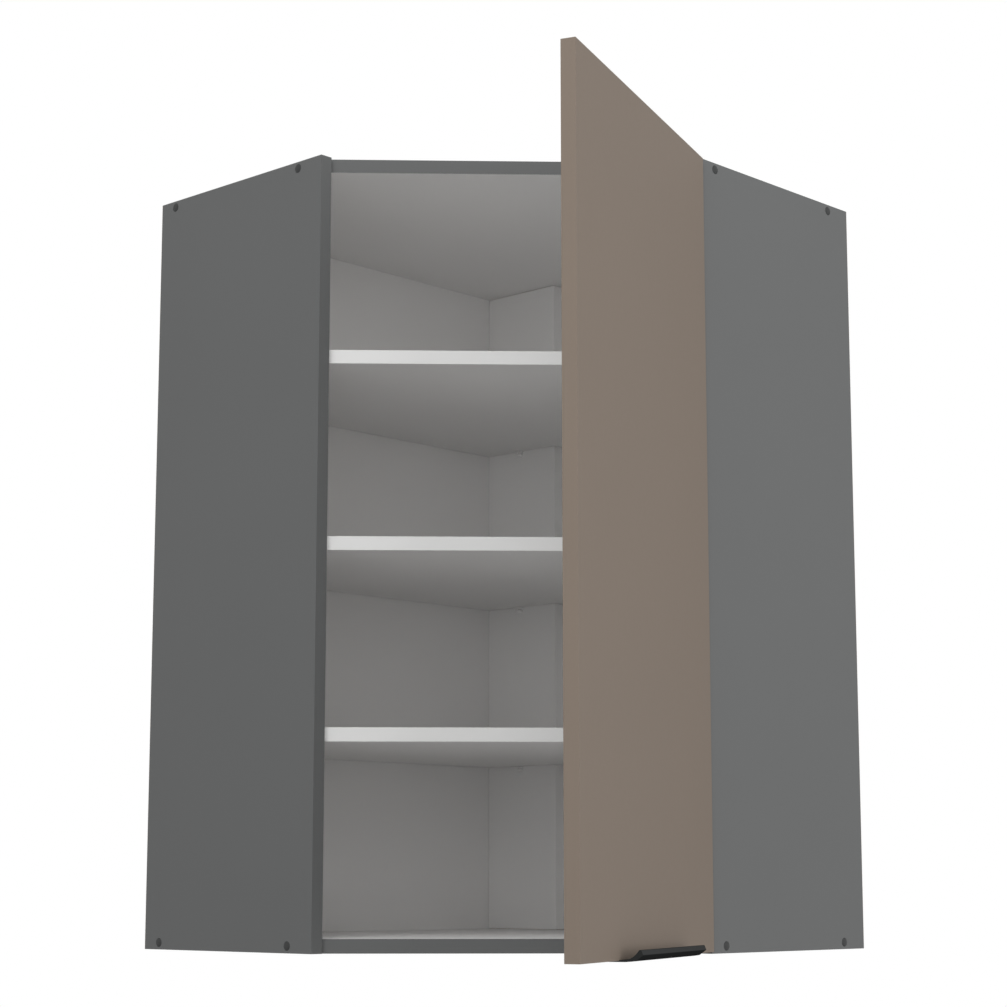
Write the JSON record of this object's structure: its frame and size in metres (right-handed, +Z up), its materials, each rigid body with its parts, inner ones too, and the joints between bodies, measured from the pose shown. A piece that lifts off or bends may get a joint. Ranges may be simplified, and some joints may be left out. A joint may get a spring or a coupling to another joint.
{
  "type": "corner wall cabinet",
  "caption": "Diagonal-front corner wall cabinet: one hinged door with a lip handle at its foot, adjustable shelves, wall hangers.",
  "frame": {"origin": "the corner where the two room walls meet, level with the cabinet underside", "axes": "+X along the right-hand wall, -Y along the left-hand wall, +Z up"},
  "size_m": [0.7474, 0.6825, 0.9],
  "materials": {
    "grey_board": "satin dust-grey melamine-faced chipboard",
    "white_board": "satin white melamine-faced board",
    "door_board": "matt taupe lacquered board",
    "dark_metal": "matt black powder coat",
    "nickel": "nickel-plated pressed steel",
    "zinc": "zinc-plated steel",
    "grey_plastic": "satin",
    "white_plastic": "satin",
    "clear_rubber": "soft translucent"
  },
  "bodies": {
    "carcass": {"bottom_board": "grey_board", "corner_strip": "white_board", "left_back_sheet": "white_board", "left_cap_bottom_front": "grey_plastic", "left_cap_bottom_rear": "grey_plastic", "left_cap_top_front": "grey_plastic", "left_cap_top_rear": "grey_plastic", "left_hanger_body": "white_plastic", "left_screw_bottom_front": "zinc", "left_screw_bottom_rear": "zinc", "left_screw_top_front": "zinc", "left_screw_top_rear": "zinc", "left_side_panel": "grey_board", "lower_hinge_arm": "nickel", "lower_hinge_plate": "nickel", "right_back_sheet": "white_board", "right_cap_bottom_front": "grey_plastic", "right_cap_bottom_rear": "grey_plastic", "right_cap_top_front": "grey_plastic", "right_cap_top_rear": "grey_plastic", "right_hanger_body": "white_plastic", "right_screw_bottom_front": "zinc", "right_screw_bottom_rear": "zinc", "right_screw_top_front": "zinc", "right_screw_top_rear": "zinc", "right_side_panel": "grey_board", "shelf_1": "white_board", "shelf_1_pin_corner": "white_plastic", "shelf_1_pin_left_front": "zinc", "shelf_1_pin_left_rear": "zinc", "shelf_1_pin_right_front": "zinc", "shelf_1_pin_right_rear": "zinc", "shelf_2": "white_board", "shelf_2_pin_corner": "white_plastic", "shelf_2_pin_left_front": "zinc", "shelf_2_pin_left_rear": "zinc", "shelf_2_pin_right_front": "zinc", "shelf_2_pin_right_rear": "zinc", "shelf_3": "white_board", "shelf_3_pin_corner": "white_plastic", "shelf_3_pin_left_front": "zinc", "shelf_3_pin_left_rear": "zinc", "shelf_3_pin_right_front": "zinc", "shelf_3_pin_right_rear": "zinc", "top_board": "grey_board", "upper_hinge_arm": "nickel", "upper_hinge_plate": "nickel"},
    "door": {"door": "door_board", "handle": "dark_metal", "bottom_door_bumper": "clear_rubber", "top_door_bumper": "clear_rubber", "lower_hinge_cup": "nickel", "upper_hinge_cup": "nickel"},
    "lower_outer_link": {"lower_hinge_outer_link": "nickel"},
    "lower_inner_link": {"lower_hinge_inner_link": "nickel"},
    "upper_outer_link": {"upper_hinge_outer_link": "nickel"},
    "upper_inner_link": {"upper_hinge_inner_link": "nickel"},
    "right_hook": {"right_hanger_hook": "zinc"},
    "left_hook": {"left_hanger_hook": "zinc"}
  },
  "joints": [
    {"name": "door_hinge", "type": "hinge", "parent": "carcass", "child": "door", "pos_m": [0.591, -0.285, 0.45], "axis": [0, 0, 1], "range_deg": [-65.6, 29.4]},
    {"name": "lower_outer_link_pivot", "type": "hinge", "parent": "carcass", "child": "lower_outer_link", "pos_m": [0.56729, -0.28875, 0.1], "axis": [0, 0, 1], "range_deg": [-65.7, 29.5]},
    {"name": "lower_inner_link_pivot", "type": "hinge", "parent": "door", "child": "lower_inner_link", "pos_m": [0.59835, -0.31311, 0.1], "axis": [0, 0, 1], "range_deg": [-29.5, 65.7]},
    {"name": "upper_outer_link_pivot", "type": "hinge", "parent": "carcass", "child": "upper_outer_link", "pos_m": [0.56729, -0.28875, 0.8], "axis": [0, 0, 1], "range_deg": [-65.7, 29.5]},
    {"name": "upper_inner_link_pivot", "type": "hinge", "parent": "door", "child": "upper_inner_link", "pos_m": [0.59835, -0.31311, 0.8], "axis": [0, 0, 1], "range_deg": [-29.5, 65.7]},
    {"name": "right_hook_adjust", "type": "slide", "parent": "carcass", "child": "right_hook", "axis": [0, 1, 0], "range_m": [-0.006, 0.0025]},
    {"name": "left_hook_adjust", "type": "slide", "parent": "carcass", "child": "left_hook", "axis": [-1, 0, 0], "range_m": [-0.006, 0.0025]}
  ],
  "couplings": [
    {"joint": "lower_outer_link_pivot", "follows": "door_hinge", "ratio": 1},
    {"joint": "lower_inner_link_pivot", "follows": "door_hinge", "ratio": -1},
    {"joint": "upper_outer_link_pivot", "follows": "door_hinge", "ratio": 1},
    {"joint": "upper_inner_link_pivot", "follows": "door_hinge", "ratio": -1}
  ]
}
